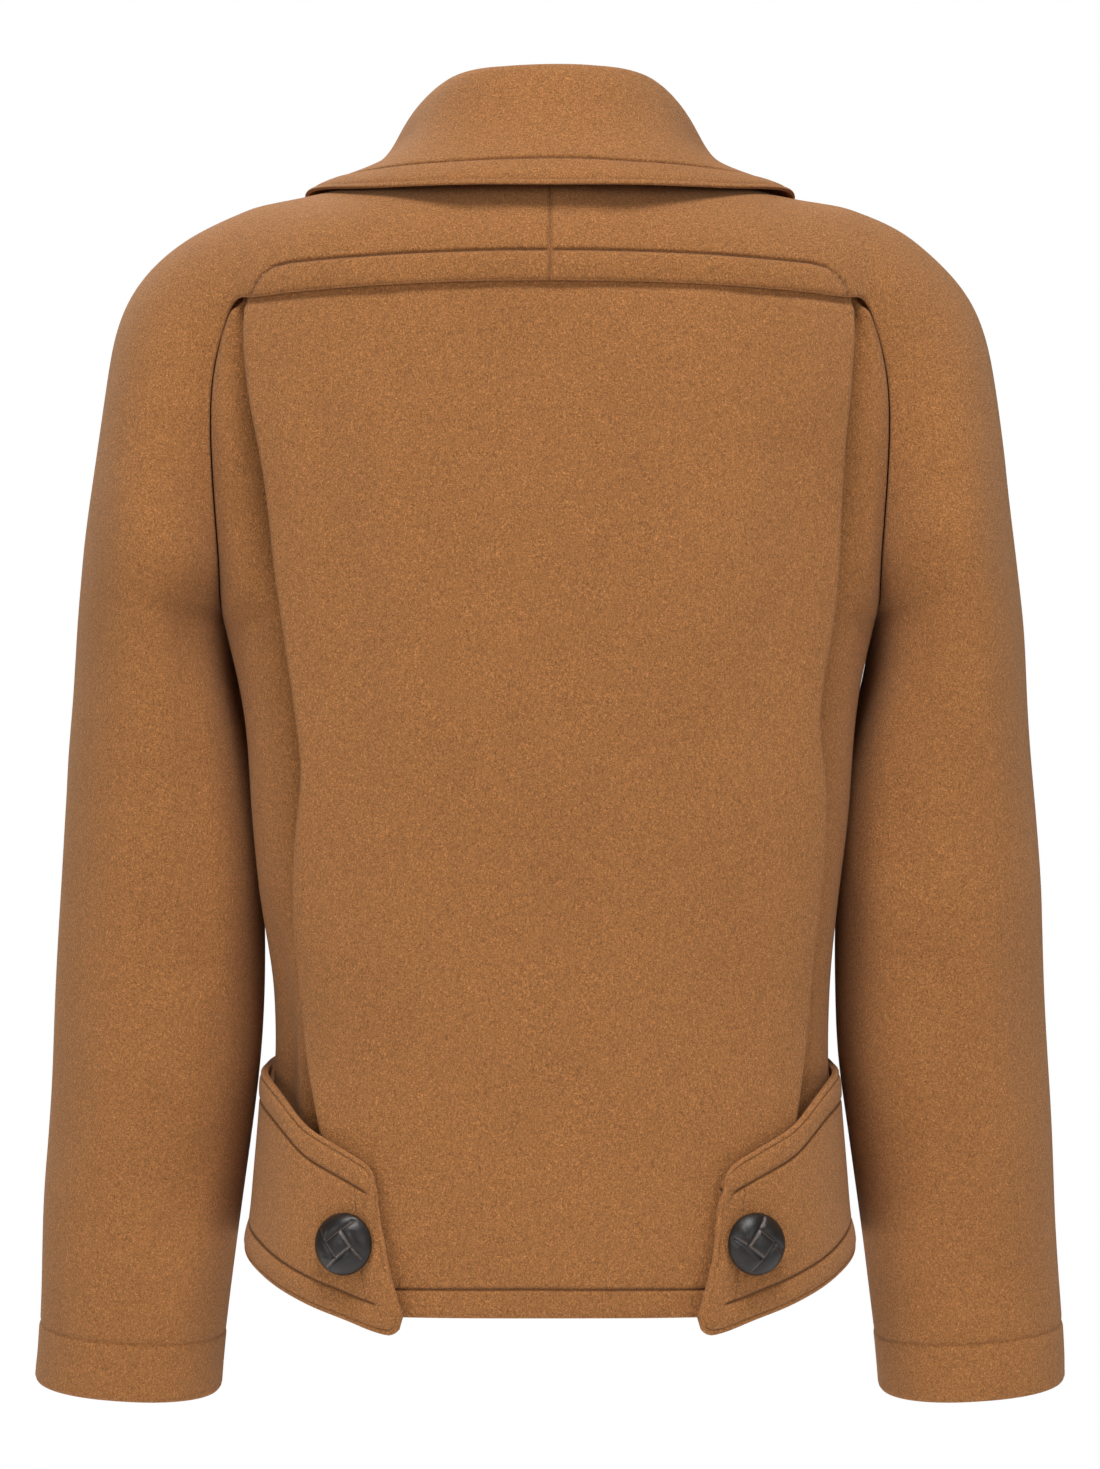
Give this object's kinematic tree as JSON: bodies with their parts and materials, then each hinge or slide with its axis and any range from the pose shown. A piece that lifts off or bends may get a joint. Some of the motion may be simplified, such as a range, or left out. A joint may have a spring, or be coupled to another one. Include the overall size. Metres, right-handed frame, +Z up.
{
  "type": "double-breasted coat",
  "caption": "Short double-breasted wool coat, worn shape and hollow, with a high fall collar, pleated back, yoked sleeves and buttoned waist tabs.",
  "frame": {"origin": "midway between the shoulders, level with the shoulder seams, where the wearer's shoulders carry the coat", "axes": "+Z up, the fronts face -Y and the back +Y, and the wearer's left is +X"},
  "size_m": [0.571, 0.276, 0.725],
  "materials": {
    "coating": "soft camel wool with a short nap",
    "leather": "dark woven leather, satin"
  },
  "bodies": {
    "root": {"back_panel": "coating", "back_side_left": "coating", "back_side_right": "coating", "collar": "coating", "facing_left": "coating", "facing_right": "coating", "front_button_inner_1": "leather", "front_button_inner_2": "leather", "front_button_inner_3": "leather", "front_button_inner_4": "leather", "front_button_outer_1": "leather", "front_button_outer_2": "leather", "front_button_outer_3": "leather", "front_button_outer_4": "leather", "front_left": "coating", "front_right": "coating", "sleeve_yoke_left": "coating", "sleeve_yoke_right": "coating", "tab_button_left": "leather", "tab_button_right": "leather", "waistband_left": "coating", "waistband_right": "coating"}
  },
  "joints": []
}
